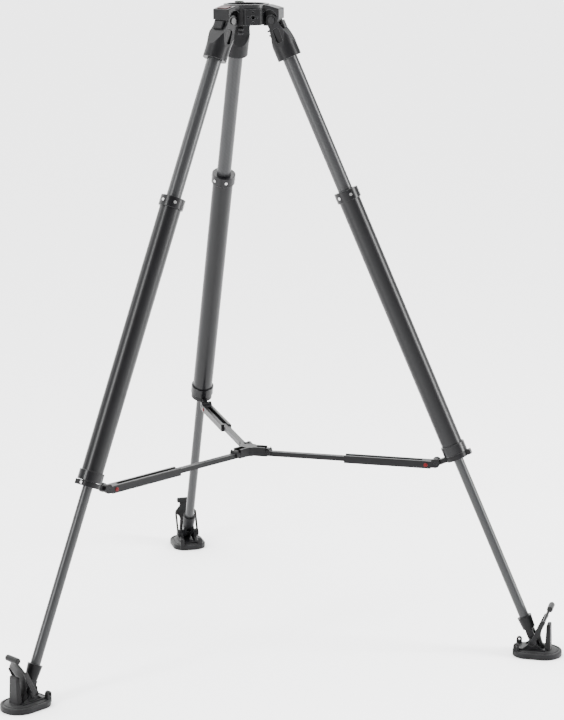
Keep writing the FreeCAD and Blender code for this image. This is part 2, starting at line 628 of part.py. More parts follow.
def shoe_cradle():
    """The stiff cradle on the shoe: a base, two cheeks and the pin that the foot turns on."""
    outer = CHEEK_GAP_IN_SHOE + CRADLE_CHEEK
    base_top = PAD_TOP + CRADLE_BASE
    base = box(-28, POST_START - 1, -outer - 2, outer + 2, PAD_TOP, base_top)
    base = base.makeFillet(2.0, [e for e in base.Edges if e.BoundBox.ZLength > 1])
    reach = CRADLE_BOSS_RADIUS
    cheek = [(-24, base_top - 1), (-reach, 0), (reach, 0), (24, base_top - 1)]
    cheeks = slab_xz(cheek, CHEEK_GAP_IN_SHOE, outer).fuse(
        slab_xz(cheek, -outer, -CHEEK_GAP_IN_SHOE)
    )
    tops = pair_y(reach, CHEEK_GAP_IN_SHOE, outer + CRADLE_BOSS_HEIGHT)
    pin = rod_y(SHOE_PIN_RADIUS, -outer, outer)
    return fuse_all([base, cheeks, tops, pin])


def strap_band(a, b, y0, y1, thickness):
    """A flat run of rubber from a to b in the upright plane, with round ends."""
    run = Vector(b[0] - a[0], 0, b[1] - a[1])
    side = Vector(run.z, 0, -run.x).normalize() * (thickness / 2)
    start = Vector(a[0], y0, a[1])
    finish = Vector(b[0], y0, b[1])
    corners = [start + side, finish + side, finish - side, start - side]
    face = Part.Face(Part.makePolygon(corners + corners[:1]))
    band = face.extrude(Vector(0, y1 - y0, 0))
    knots = [rod_y(thickness / 2, y0, y1, p[0], p[1]) for p in (a, b)]
    return fuse_all([band] + knots)


def shoe_strap():
    """The rubber strap: a curved tongue, a cross grip, and a band to each boss of the cradle."""
    half = STRAP_WIDTH / 2
    runs = [
        strap_band(a, b, -half, half, STRAP_THICKNESS)
        for a, b in zip(STRAP_ROUTE, STRAP_ROUTE[1:])
    ]
    grip = rod_y(GRIP_RADIUS, -GRIP_WIDTH / 2, GRIP_WIDTH / 2, GRIP_AT[0], GRIP_AT[1])
    boss_face = CHEEK_GAP_IN_SHOE + CRADLE_CHEEK + CRADLE_BOSS_HEIGHT
    bands = []
    for side in (-1, 1):
        inner = sorted((side * (half - 1), side * (boss_face + BAND_THICKNESS)))
        outer = sorted((side * boss_face, side * (boss_face + BAND_THICKNESS)))
        bands.append(strap_band((0, 0), (27, 50), outer[0], outer[1], BAND_WIDTH))
        bands.append(strap_band((26, 49), (28, 52), inner[0], inner[1], BAND_THICKNESS + 2))
    return fuse_all(runs + [grip] + bands).cut(shoe_cradle()).cut(shoe_pad())


def arm_channel():
    """The outer arm: a fork on the clamp's tongue, an end block, and a slotted channel."""
    half = ARM_WIDTH / 2
    ear_inner = TONGUE_WIDTH / 2 + SLIDING_GAP
    top = ARM_HEIGHT / 2 - ARM_AXIS_DROP
    bottom = top - ARM_HEIGHT
    ears = pair_y(FORK_RADIUS, ear_inner, half)
    links = pair_of_boxes(-FORK_LENGTH - 1, 0, ear_inner, half, -FORK_RADIUS, top)
    channel_end = -CHANNEL_START - CHANNEL_LENGTH
    beam = box(channel_end, -FORK_LENGTH, -half, half, bottom, top)
    beam = beam.makeFillet(1.5, [e for e in beam.Edges if e.BoundBox.XLength > 5])
    cavity_half = CAVITY_HEIGHT / 2
    cavity = box(
        channel_end - 1, -CHANNEL_START, -CAVITY_WIDTH / 2, CAVITY_WIDTH / 2,
        -ARM_AXIS_DROP - cavity_half, -ARM_AXIS_DROP + cavity_half,
    )
    slot_half = BAR_SLOT_WIDTH / 2
    slot = box(channel_end - 1, -CHANNEL_START, -slot_half, slot_half, -ARM_AXIS_DROP, top + 1)
    button_bore = rod_y(BUTTON_RADIUS + RUNNING_GAP, -half - 1, half + 1, -BUTTON_SETBACK,
                        -ARM_AXIS_DROP)
    pin_bore = rod_y(HINGE_PIN_RADIUS + RUNNING_GAP, -half - 1, half + 1)
    body = fuse_all([ears, links, beam])
    for hollow in (cavity, slot, button_bore, pin_bore):
        body = body.cut(hollow)
    return body


def arm_button():
    """The push-through catch that frees the telescoping arm."""
    reach = ARM_WIDTH / 2 + BUTTON_PROUD
    button = rod_y(BUTTON_RADIUS, -reach, reach, -BUTTON_SETBACK, -ARM_AXIS_DROP)
    return button.makeFillet(0.8, [e for e in button.Edges if e.Closed])


def arm_bar():
    """The inner arm, with a round end and the trunnion that rests in the hub's notches."""
    half = BAR_WIDTH / 2
    top = BAR_HEIGHT / 2 - ARM_AXIS_DROP
    bar = box(-BAR_TIP, -BAR_TIP + BAR_LENGTH, -half, half, top - BAR_HEIGHT, top)
    end = rod_y(BAR_END_RADIUS, -half, half, -BAR_TIP, 0)
    reach = half + SLIDING_GAP + HUB_EAR_THICKNESS - SWING_GAP
    trunnion = rod_y(TRUNNION_RADIUS, -reach, reach, -BAR_TIP, 0)
    return fuse_all([bar, end, trunnion])


def spreader_hub():
    """The hub in the middle: a core with a pair of notched ears for each arm's trunnion."""
    half_height = HUB_HEIGHT / 2
    inner = BAR_WIDTH / 2 + SLIDING_GAP
    outer = inner + HUB_EAR_THICKNESS
    nose = HUB_EAR_REACH - half_height
    notch = TRUNNION_RADIUS + SLIDING_GAP
    body = tube_z(HUB_CORE_RADIUS, -half_height, half_height)
    for azimuth in LEG_AZIMUTHS.values():
        ears = pair_of_boxes(
            HUB_CORE_RADIUS / 2, nose, inner, outer, -half_height, half_height,
        )
        noses = pair_y(half_height, inner, outer, nose, 0)
        body = body.fuse(at_radius(fuse_all([ears, noses]), azimuth))
    for azimuth in LEG_AZIMUTHS.values():
        seat = rod_y(notch, -outer - 1, outer + 1, TRUNNION_CIRCLE, 0)
        mouth = box(
            TRUNNION_CIRCLE - notch, TRUNNION_CIRCLE + notch, -outer - 1, outer + 1,
            0, half_height + 1,
        )
        body = body.cut(at_radius(seat.fuse(mouth), azimuth))
    body = body.removeSplitter()
    body.translate(Vector(0, 0, HINGE_HEIGHT))
    return body


def write(name, shape):
    shape.exportStep("parts/" + name + ".step")
    print(name, len(shape.Solids), "solids", round(shape.Volume / 1000, 2), "cm3")


def main():
    os.makedirs("parts", exist_ok=True)
    write("crown_casting", crown_casting())
    write("bowl_ring", bowl_ring())
    write("leg_axles", leg_axles())
    write("level_body", level_body())
    write("level_vial", level_vial())
    write("badge_plate", badge_plate())
    write("spreader_hub", spreader_hub())
    leg_pieces = {
        "bracket": bracket(), "angle_latch": angle_latch(), "upper_tube": upper_tube(),
        "top_collar": top_collar(), "collar_screws": collar_screws(),
        "outer_tube": outer_tube(), "lock_collet": lock_collet(),
        "lock_collar": lock_collar(), "spreader_clamp": spreader_clamp(),
        "lower_tube": lower_tube(), "foot_cup": foot_cup(),
    }
    shoe_pieces = {
        "shoe_pad": shoe_pad(), "shoe_cradle": shoe_cradle(), "shoe_strap": shoe_strap(),
    }
    arm_pieces = {
        "arm_channel": arm_channel(), "arm_button": arm_button(), "arm_bar": arm_bar(),
    }
    for leg, azimuth in LEG_AZIMUTHS.items():
        for name, shape in leg_pieces.items():
            write(name + "_" + leg, on_leg(shape, azimuth))
        for name, shape in shoe_pieces.items():
            write(name + "_" + leg, at_radius(shape, azimuth, FOOT_RADIUS, FOOT_HEIGHT))
        for name, shape in arm_pieces.items():
            write(name + "_" + leg, at_radius(shape, azimuth, HINGE_RADIUS, HINGE_HEIGHT))


main()
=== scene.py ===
# %% [markdown]
# # A video tripod on three carbon legs
# The frame of the tripod comes finished from CAD: every tube, collar and hinge is already in
# place, in metres, with +Z up and the bowl's rim at the origin. This lesson gives each surface
# its finish and rebuilds in Blender what a moulder would shape by hand, the three shoes.

import json
import math

import bmesh
import bpy
from mathutils import Matrix, Vector


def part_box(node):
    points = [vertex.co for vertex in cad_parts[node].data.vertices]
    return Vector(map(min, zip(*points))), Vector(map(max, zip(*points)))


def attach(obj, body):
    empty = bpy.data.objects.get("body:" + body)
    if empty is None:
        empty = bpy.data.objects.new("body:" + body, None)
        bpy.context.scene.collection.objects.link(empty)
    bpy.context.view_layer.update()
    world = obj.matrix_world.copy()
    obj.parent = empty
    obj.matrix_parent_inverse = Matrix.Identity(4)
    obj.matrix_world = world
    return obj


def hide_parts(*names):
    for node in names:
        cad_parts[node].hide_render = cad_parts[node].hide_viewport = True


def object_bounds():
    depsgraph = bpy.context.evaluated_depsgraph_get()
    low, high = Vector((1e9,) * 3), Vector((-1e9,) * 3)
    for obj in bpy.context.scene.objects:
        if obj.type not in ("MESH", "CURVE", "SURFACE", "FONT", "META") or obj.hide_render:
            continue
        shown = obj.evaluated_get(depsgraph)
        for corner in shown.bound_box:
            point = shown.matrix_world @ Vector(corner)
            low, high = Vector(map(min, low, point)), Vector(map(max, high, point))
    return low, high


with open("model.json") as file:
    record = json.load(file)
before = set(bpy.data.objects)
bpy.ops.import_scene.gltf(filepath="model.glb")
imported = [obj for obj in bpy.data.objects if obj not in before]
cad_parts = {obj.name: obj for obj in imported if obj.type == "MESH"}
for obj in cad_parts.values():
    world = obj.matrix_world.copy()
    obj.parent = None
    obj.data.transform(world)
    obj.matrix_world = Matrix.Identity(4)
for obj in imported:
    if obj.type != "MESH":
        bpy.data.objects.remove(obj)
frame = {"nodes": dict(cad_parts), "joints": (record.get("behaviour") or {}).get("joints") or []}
cad_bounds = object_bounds()
LEGS = ("left", "right", "rear")
UP = Vector((0, 0, 1))
joints = {joint["name"]: joint for joint in frame["joints"]}
print("CAD nodes:", len(frame["nodes"]))

# %% [markdown]
# ## Where each leg stands
# A tube's weave has to run round the tube, and a shoe has to be shaped along its own leg. Both
# need the leg's own directions, which the joints give: the slide's axis runs down the leg, and
# the hinge's axis runs across it.


# %% Read a leg's directions from its joints
def leg_axes(leg):
    """A leg's hinge point, and its outward, sideways and upward directions."""
    across = Vector(joints[f"leg_fold_{leg}"]["axis"])
    down = Vector(joints[f"upper_slide_{leg}"]["axis"])
    hinge = Vector(joints[f"leg_fold_{leg}"]["pos_m"])
    up = -down
    side = -across
    return hinge, side.cross(up), side, up


def level_axes(leg):
    """The shoe pivot, and the level outward and sideways directions of a leg."""
    pivot = Vector(joints[f"shoe_tilt_{leg}"]["pos_m"])
    side = Vector(joints[f"shoe_tilt_{leg}"]["axis"])
    return pivot, side.cross(UP), side


for leg in LEGS:
    print(leg, "stands at", [round(value, 3) for value in level_axes(leg)[0]])

# %% [markdown]
# ## The camera
# A long lens from a little above the middle of the tripod keeps the legs nearly parallel to how
# they really stand. The camera is set from the distance, the angle round the tripod and the
# height of its aim, then panned and rolled by a fraction of a degree.

# %% Place the camera
CAMERA_DISTANCE = 4.362
CAMERA_AZIMUTH = math.radians(-14.27)
CAMERA_ELEVATION = math.radians(12.91)
CAMERA_AIM = Vector((0, 0, -0.7074))
CAMERA_PAN = math.radians(0.87)
CAMERA_ROLL = math.radians(-0.41)
CAMERA_LENS = 108.8
CAMERA_REACH = 60


def place_camera():
    level = math.cos(CAMERA_ELEVATION)
    away = Vector((
        math.sin(CAMERA_AZIMUTH) * level,
        -math.cos(CAMERA_AZIMUTH) * level,
        math.sin(CAMERA_ELEVATION),
    ))
    forward = -away
    right = forward.cross(UP).normalized()
    up = right.cross(forward)
    panned = forward * math.cos(CAMERA_PAN) + right * math.sin(CAMERA_PAN)
    right = right * math.cos(CAMERA_PAN) - forward * math.sin(CAMERA_PAN)
    rolled = right * math.cos(CAMERA_ROLL) + up * math.sin(CAMERA_ROLL)
    up = up * math.cos(CAMERA_ROLL) - right * math.sin(CAMERA_ROLL)
    turn = Matrix((rolled, up, -panned)).transposed().to_4x4()
    bpy.ops.object.camera_add()
    camera = bpy.context.object
    camera.name = "camera"
    camera.matrix_world = Matrix.Translation(CAMERA_AIM + away * CAMERA_DISTANCE) @ turn
    camera.data.lens = CAMERA_LENS
    camera.data.clip_end = CAMERA_REACH
    bpy.context.scene.camera = camera
    print("camera stands at", [round(value, 2) for value in camera.location])


place_camera()

# %% [markdown]
# ## The studio
# Black parts are only seen by what they reflect. One very soft sun from above and behind turns
# the floor white all the way back, and leaves the faces turned to the camera dark. The sky is
# dim above a white haze at the horizon, so that the tubes stay black. Two tall panels in front,
# one each side, draw the long highlights down the legs.

# %% Light the studio
FLOOR_COLOUR = (0.96, 0.96, 0.965, 1)
SKY_STRENGTH = 0.22
HAZE_STRENGTH = 3.0
HAZE_TOP = 0.10
HAZE_END = 0.24
FLOOR_SIZE = 400
FLOOR_GAP = 0.0002
SUN_STRENGTH = 12.0
SUN_SPREAD = math.radians(110)
SUN_TRAVEL = Vector((0.15, -0.45, -1))
PANEL_TARGET = Vector((0, 0, -0.6))
PANELS = {
    # name: place, width and height, power
    "left_panel": (Vector((-3.4, -1.6, 0.5)), (0.7, 2.8), 220),
    "right_panel": (Vector((3.3, -1.5, 0.5)), (0.9, 2.8), 320),
}


def make_floor():
    level = cad_bounds[0][2] - FLOOR_GAP
    bpy.ops.mesh.primitive_plane_add(size=FLOOR_SIZE, location=(0, 0, level))
    floor = bpy.context.object
    floor.name = "studio_floor"
    finish = bpy.data.materials.new("pale_floor")
    finish.use_nodes = True
    shader = finish.node_tree.nodes["Principled BSDF"]
    shader.inputs["Base Color"].default_value = FLOOR_COLOUR
    shader.inputs["Roughness"].default_value = 0.75
    shader.inputs["Specular IOR Level"].default_value = 0.15
    floor.data.materials.append(finish)


def add_panel(name, place, size, power):
    """A soft rectangular light at a place, facing the middle of the tripod."""
    bpy.ops.object.light_add(type="AREA", location=place)
    panel = bpy.context.object
    panel.name = name
    panel.data.shape = "RECTANGLE"
    panel.data.size, panel.data.size_y = size
    panel.data.energy = power
    panel.rotation_euler = (PANEL_TARGET - place).to_track_quat("-Z", "Y").to_euler()


def light_sky():
    """A dim sky over a white haze that joins the floor at the horizon."""
    world = bpy.data.worlds.new("studio_world")
    bpy.context.scene.world = world
    world.use_nodes = True
    tree = world.node_tree
    sky = tree.nodes["Background"]
    sky.inputs["Color"].default_value = (1, 1, 1, 1)
    direction = tree.nodes.new("ShaderNodeTexCoord").outputs["Generated"]
    split = tree.nodes.new("ShaderNodeSeparateXYZ")
    tree.links.new(direction, split.inputs[0])
    haze = tree.nodes.new("ShaderNodeMapRange")
    haze.interpolation_type = "SMOOTHSTEP"
    haze.inputs["From Min"].default_value = HAZE_TOP
    haze.inputs["From Max"].default_value = HAZE_END
    haze.inputs["To Min"].default_value = HAZE_STRENGTH
    haze.inputs["To Max"].default_value = SKY_STRENGTH
    tree.links.new(split.outputs["Z"], haze.inputs["Value"])
    tree.links.new(haze.outputs["Result"], sky.inputs["Strength"])


def light_sun():
    bpy.ops.object.light_add(type="SUN")
    sun = bpy.context.object
    sun.name = "soft_sun"
    sun.data.energy = SUN_STRENGTH
    sun.data.angle = SUN_SPREAD
    sun.rotation_euler = SUN_TRAVEL.to_track_quat("-Z", "Y").to_euler()


make_floor()
light_sky()
light_sun()
for name, (place, size, power) in PANELS.items():
    add_panel(name, place, size, power)

# %% [markdown]
# ## A start for every finish
# Each finish is a Principled shader whose colour, roughness and bump come from procedural
# patterns on the object's own coordinates, so that they stay put when the legs fold. One helper
# makes the shader and one links a pattern to a bump, and each finish adds its own grain.


# %% Helpers for the finishes
COAT_ROUGHNESS = 0.18
EDGE_SAMPLES = 6


def new_finish(name, metallic=0.0, coat=0.0):
    """A material with its shader, its node tree and object coordinates."""
    finish = bpy.data.materials.new(name)
    finish.use_nodes = True
    tree = finish.node_tree
    shader = tree.nodes["Principled BSDF"]
    shader.inputs["Metallic"].default_value = metallic
    shader.inputs["Coat Weight"].default_value = coat
    shader.inputs["Coat Roughness"].default_value = COAT_ROUGHNESS
    where = tree.nodes.new("ShaderNodeTexCoord").outputs["Object"]
    return finish, tree, shader, where


def noise(tree, where, scale, detail=4.0, roughness=0.55):
    node = tree.nodes.new("ShaderNodeTexNoise")
    node.inputs["Scale"].default_value = scale
    node.inputs["Detail"].default_value = detail
    node.inputs["Roughness"].default_value = roughness
    tree.links.new(where, node.inputs["Vector"])
    return node.outputs["Fac"]


def ramp(tree, value, stops):
    """A colour ramp through (position, grey or colour) stops."""
    node = tree.nodes.new("ShaderNodeValToRGB")
    elements = node.color_ramp.elements
    while len(elements) < len(stops):
        elements.new(0.5)
    for element, (position, colour) in zip(elements, stops):
        element.position = position
        shade = colour if isinstance(colour, tuple) else (colour, colour, colour)
        element.color = (*shade, 1)
    tree.links.new(value, node.inputs["Fac"])
    return node.outputs["Color"]


def math_node(tree, operation, first, second=None):
    node = tree.nodes.new("ShaderNodeMath")
    node.operation = operation
    for socket, value in zip(node.inputs, (first, second)):
        if value is None:
            continue
        if isinstance(value, (int, float)):
            socket.default_value = value
        else:
            tree.links.new(value, socket)
    return node.outputs["Value"]


def bump(tree, shader, height, distance, strength=1.0, base=None):
    node = tree.nodes.new("ShaderNodeBump")
    if base is not None:
        tree.links.new(base, node.inputs["Normal"])
    node.inputs["Strength"].default_value = strength
    node.inputs["Distance"].default_value = distance
    tree.links.new(height, node.inputs["Height"])
    tree.links.new(node.outputs["Normal"], shader.inputs["Normal"])


def mixed(tree, factor, first, second):
    """One colour where the factor is 0 and another where it is 1."""
    node = tree.nodes.new("ShaderNodeMix")
    node.data_type = "RGBA"
    colour_sockets = [socket for socket in node.inputs if socket.type == "RGBA"]
    for socket, value in zip(colour_sockets, (first, second)):
        if isinstance(value, tuple):
            socket.default_value = (*value, 1)
        else:
            tree.links.new(value, socket)
    tree.links.new(factor, node.inputs["Factor"])
    return [socket for socket in node.outputs if socket.type == "RGBA"][0]


def soft_edges(tree, radius):
    """Normals that round every sharp edge, and a mask of the outward edges.

    The rounded normal leaves the flat one only near an edge, and open air lies round an edge
    that points outwards, so the two together mark the outward edges, where the finishes paint a
    highlight.
    """
    rounded = tree.nodes.new("ShaderNodeBevel")
    rounded.samples = EDGE_SAMPLES
    rounded.inputs["Radius"].default_value = radius
    flat = tree.nodes.new("ShaderNodeNewGeometry").outputs["Normal"]
    alike = tree.nodes.new("ShaderNodeVectorMath")
    alike.operation = "DOT_PRODUCT"
    tree.links.new(rounded.outputs["Normal"], alike.inputs[0])
    tree.links.new(flat, alike.inputs[1])
    bent = ramp(tree, alike.outputs["Value"], [(0.84, 1.0), (0.985, 0.0)])
    open_air = tree.nodes.new("ShaderNodeAmbientOcclusion")
    open_air.samples = EDGE_SAMPLES
    open_air.inputs["Distance"].default_value = 4 * radius
    outward = ramp(tree, open_air.outputs["AO"], [(0.80, 0.0), (0.97, 1.0)])
    return rounded.outputs["Normal"], math_node(tree, "MULTIPLY", bent, outward)


# %% [markdown]
# ## Cast and machined metal
# The crown and the leg brackets are die castings under a satin black paint with a fine sandy
# texture. Their outward corners are painted a lighter grey, a painted highlight where the edges
# catch the light.
# The rings are turned, so they are smoother and carry faint rings of tool marks.


# %% Finishes for the castings and rings
PAINT_LOW = (0.003, 0.003, 0.0033)
PAINT_HIGH = (0.006, 0.006, 0.0066)
# a lighter grey painted on the outward edges as a painted highlight
PAINTED_EDGE_HIGHLIGHT = (0.11, 0.11, 0.115)
CAST_EDGE = 0.0008


def cast_finish():
    finish, tree, shader, where = new_finish("cast_black")
    shader.inputs["Specular IOR Level"].default_value = 0.11
    broad = noise(tree, where, 38)
    sand = noise(tree, where, 1500, 3)
    colour = ramp(tree, broad, [(0.3, PAINT_LOW), (0.7, PAINT_HIGH)])
    # the outward edges get a painted highlight: their colour is mixed towards the lighter grey
    normal, edges = soft_edges(tree, CAST_EDGE)
    colour_with_painted_highlight = mixed(tree, edges, colour, PAINTED_EDGE_HIGHLIGHT)
    tree.links.new(colour_with_painted_highlight, shader.inputs["Base Color"])
    tree.links.new(ramp(tree, sand, [(0.25, 0.30), (0.75, 0.44)]), shader.inputs["Roughness"])
    bump(tree, shader, sand, 0.00012, 0.5, normal)
    return finish


def turned_finish(name, shade, smooth, rough, specular):
    """A turned or anodised skin: even colour, a little cloudiness and very fine marks."""
    finish, tree, shader, where = new_finish(name)
    shader.inputs["Specular IOR Level"].default_value = specular
    cloud = noise(tree, where, 12)
    marks = noise(tree, where, 2600, 2)
    low = tuple(value * 0.85 for value in shade)
    high = tuple(value * 1.2 for value in shade)
    tree.links.new(ramp(tree, cloud, [(0.3, low), (0.7, high)]), shader.inputs["Base Color"])
    tree.links.new(ramp(tree, marks, [(0.3, smooth), (0.7, rough)]), shader.inputs["Roughness"])
    bump(tree, shader, marks, 0.00004, 0.4)
    return finish


def steel_finish():
    finish, tree, shader, where = new_finish("bright_steel", metallic=1.0)
    marks = noise(tree, where, 1800, 2)
    tree.links.new(ramp(tree, marks, [(0.3, 0.34), (0.7, 0.48)]), shader.inputs["Base Color"])
    tree.links.new(ramp(tree, marks, [(0.3, 0.20), (0.7, 0.34)]), shader.inputs["Roughness"])
    bump(tree, shader, marks, 0.00003, 0.4)
    return finish


cast_black = cast_finish()
ring_black = turned_finish("ring_black", (0.003, 0.003, 0.0035), 0.26, 0.31, 0.20)
bright_steel = steel_finish()
print("metal finishes:", cast_black.name, ring_black.name, bright_steel.name)

# %% [markdown]
# ## Carbon fibre
# The upper and lower tubes are wound from a twill of carbon under a clear coat. Seen close, the
# two directions of the weave catch the light in turn. The pattern is laid on the tube by turning
# the coordinates into the leg's own, then taking the angle round the tube and the height along
# it: where the sum of the two cell numbers falls in one half of a cycle, the warp is on top.


# %% A finish that winds round one leg
TOWS_ROUND = 40
TOW_LENGTH = 0.0022
WEFT_LOW = (0.012, 0.0122, 0.013)
WEFT_HIGH = (0.016, 0.0163, 0.0172)
WARP_LOW = (0.0135, 0.0138, 0.0146)
WARP_HIGH = (0.0185, 0.0188, 0.0198)


def in_leg(tree, where, leg):
    """Coordinates turned so that X is outward, Y sideways and Z up the leg."""
    hinge, outward, side, up = leg_axes(leg)
    turn = Matrix((outward, side, up))
    node = tree.nodes.new("ShaderNodeMapping")
    node.inputs["Rotation"].default_value = turn.to_euler()
    node.inputs["Location"].default_value = -(turn @ hinge)
    tree.links.new(where, node.inputs["Vector"])
    return node.outputs["Vector"]


def carbon_finish(leg):
    finish, tree, shader, where = new_finish(f"carbon_{leg}", metallic=0.1, coat=0.10)
    shader.inputs["Specular IOR Level"].default_value = 0.24
    local = in_leg(tree, where, leg)
    split = tree.nodes.new("ShaderNodeSeparateXYZ")
    tree.links.new(local, split.inputs[0])
    angle = math_node(tree, "ARCTAN2", split.outputs["Y"], split.outputs["X"])
    round_cell = math_node(tree, "MULTIPLY", angle, TOWS_ROUND / (2 * math.pi))
    along_cell = math_node(tree, "DIVIDE", split.outputs["Z"], TOW_LENGTH)
    total = math_node(
        tree, "ADD",
        math_node(tree, "FLOOR", round_cell), math_node(tree, "FLOOR", along_cell),
    )
    cycle = math_node(tree, "FRACT", math_node(tree, "MULTIPLY", total, 0.25))
    warp_on_top = math_node(tree, "LESS_THAN", cycle, 0.5)
    strands = noise(tree, local, 900, 2)
    weft = ramp(tree, strands, [(0.3, WEFT_LOW), (0.7, WEFT_HIGH)])
    warp = ramp(tree, strands, [(0.3, WARP_LOW), (0.7, WARP_HIGH)])
    tree.links.new(mixed(tree, warp_on_top, weft, warp), shader.inputs["Base Color"])
    rough = mixed(tree, warp_on_top, (0.38, 0.38, 0.38), (0.34, 0.34, 0.34))
    tree.links.new(rough, shader.inputs["Roughness"])
    bump(tree, shader, warp_on_top, 0.00004, 0.35)
    return finish


carbon = {leg: carbon_finish(leg) for leg in LEGS}
anodised = turned_finish("anodised_black", (0.0035, 0.0035, 0.004), 0.30, 0.34, 0.20)
print("tube finishes:", *(finish.name for finish in carbon.values()), anodised.name)

# %% [markdown]
# ## Plastic, rubber and colour
# The arms, latches, foot cups and cradles are moulded in a fine spark grain. The soles and
# straps are rubber: mottled, lighter grey along the crests, with no clean reflection. The push
# buttons and the blank plate are dark red, and the level is a yellow-green vial.


# %% Finishes for the moulded pieces
MOULDED_EDGE = 0.0006
RUBBER_LOW = (0.004, 0.004, 0.0043)
RUBBER_HIGH = (0.009, 0.009, 0.0095)
RUBBER_CREST = (0.03, 0.03, 0.03)


def moulded_finish(name, shade, rough, grain_depth=0.00010, grain_scale=1300):
    finish, tree, shader, where = new_finish(name)
    shader.inputs["Specular IOR Level"].default_value = 0.11
    grain = noise(tree, where, grain_scale, 3)
    cloud = noise(tree, where, 45)
    low = tuple(value * 0.75 for value in shade)
    high = tuple(value * 1.3 for value in shade)
    normal, edges = soft_edges(tree, MOULDED_EDGE)
    colour = ramp(tree, cloud, [(0.3, low), (0.7, high)])
    # the outward edges are mixed towards a lighter colour: a painted highlight in the base colour
    painted_edge_highlight = tuple(value * 2.5 + 0.03 for value in shade)
    tree.links.new(mixed(tree, edges, colour, painted_edge_highlight), shader.inputs["Base Color"])
    span = [(0.3, rough - 0.07), (0.7, rough + 0.07)]
    tree.links.new(ramp(tree, grain, span), shader.inputs["Roughness"])
    bump(tree, shader, grain, grain_depth, 0.6, normal)
    return finish


def rubber_finish():
    finish, tree, shader, where = new_finish("black_rubber")
    shader.inputs["Specular IOR Level"].default_value = 0.10
    shader.inputs["Sheen Weight"].default_value = 0.06
    shader.inputs["Sheen Roughness"].default_value = 0.5
    cloud = noise(tree, where, 55, 5)
    grain = noise(tree, where, 1100, 4)
    colour = ramp(tree, cloud, [(0.3, RUBBER_LOW), (0.75, RUBBER_HIGH)])
    # the crests, where the surface is most convex, are mixed towards a lighter grey
    pointiness = tree.nodes.new("ShaderNodeNewGeometry").outputs["Pointiness"]
    crests = ramp(tree, pointiness, [(0.52, 0.0), (0.60, 1.0)])
    tree.links.new(mixed(tree, crests, colour, RUBBER_CREST), shader.inputs["Base Color"])
    tree.links.new(ramp(tree, grain, [(0.3, 0.44), (0.7, 0.62)]), shader.inputs["Roughness"])
    bump(tree, shader, grain, 0.00014, 0.6)
    return finish


moulded_black = moulded_finish("moulded_black", (0.004, 0.004, 0.0045), 0.38)
black_rubber = rubber_finish()
plate_red = moulded_finish("plate_red", (0.022, 0.001, 0.002), 0.42, 0.00004)
button_red = moulded_finish("button_red", (0.07, 0.002, 0.003), 0.30, 0.00003)
vial_green = moulded_finish("vial_green", (0.10, 0.15, 0.03), 0.12, 0.00001)
print("moulded finishes:", moulded_black.name, black_rubber.name, plate_red.name)

# %% [markdown]
# ## Dress the frame
# Each CAD node keeps its shape and only gets its finish. A table from the first words of a
# node's name to a finish does it, and carbon is picked by leg.

# %% Give every node its finish
FINISHES = {
    "crown_casting": cast_black, "bowl_ring": ring_black, "leg_axles": ring_black,
    "level_body": ring_black, "level_vial": vial_green, "badge_plate": plate_red,
    "spreader_hub": moulded_black, "bracket": cast_black, "angle_latch": moulded_black,
    "top_collar": ring_black, "collar_screws": bright_steel, "outer_tube": anodised,
    "lock_collet": moulded_black, "lock_collar": ring_black, "spreader_clamp": cast_black,
    "foot_cup": moulded_black, "shoe_pad": black_rubber, "shoe_cradle": moulded_black,
    "shoe_strap": black_rubber, "arm_channel": moulded_black, "arm_button": button_red,
    "arm_bar": moulded_black,
}


def dress(node, finish):
    """Put one finish in every material slot of a CAD node."""
    piece = frame["nodes"][node]
    if not piece.material_slots:
        piece.data.materials.append(finish)
    for slot in piece.material_slots:
        slot.material = finish


for node in frame["nodes"]:
    leg = node.rsplit("_", 1)[-1]
    family = node.rsplit("_", 1)[0] if leg in LEGS else node
    if family in ("upper_tube", "lower_tube"):
        dress(node, carbon[leg])
    else:
        dress(node, FINISHES[family])
print("finishes:", len(bpy.data.materials))

# %% [markdown]
# ## Modelling helpers
# New pieces start as a primitive at its real size and are shaped in edit mode. An operator acts
# on all that is selected, so two helpers pick just the faces or edges that pass a test, by their
# middle and their direction. Another joins several blocks and remeshes them into one skin, the
# way rubber leaves its mould: every inside corner comes out softly rounded.


# %% Helpers that pick, shape and fuse
FACING = 0.9
NEAR = 0.001
ALONG_Y = (math.pi / 2, 0, 0)


def block(name, low, high):
    """A box between two corners, its size applied, left in edit mode."""
    low, high = Vector(low), Vector(high)
    bpy.ops.mesh.primitive_cube_add(size=1, location=(low + high) / 2, scale=high - low)
    piece = bpy.context.object
    piece.name = name
    bpy.ops.object.transform_apply(location=True, rotation=True, scale=True)
    bpy.ops.object.mode_set(mode="EDIT")
    return piece


def pick_faces(piece, test):
    """Select only the faces whose middle and normal pass the test."""
    bpy.ops.mesh.select_mode(type="FACE")
    bpy.ops.mesh.select_all(action="DESELECT")
    mesh = bmesh.from_edit_mesh(piece.data)
    for face in mesh.faces:
        face.select_set(bool(test(face.calc_center_median(), face.normal)))
    bmesh.update_edit_mesh(piece.data)


def pick_edges(piece, test):
    """Select only the edges whose middle and direction pass the test."""
    bpy.ops.mesh.select_mode(type="EDGE")
    bpy.ops.mesh.select_all(action="DESELECT")
    mesh = bmesh.from_edit_mesh(piece.data)
    for edge in mesh.edges:
        first, second = (vertex.co for vertex in edge.verts)
        edge.select_set(bool(test((first + second) / 2, (second - first).normalized())))
    bmesh.update_edit_mesh(piece.data)


def upright(middle, direction):
    return abs(direction.z) > 0.99


def round_edges(piece, test, offset, segments):
    pick_edges(piece, test)
    bpy.ops.mesh.bevel(offset=offset, segments=segments, clamp_overlap=False)


def finish_editing():
    bpy.ops.object.mode_set(mode="OBJECT")


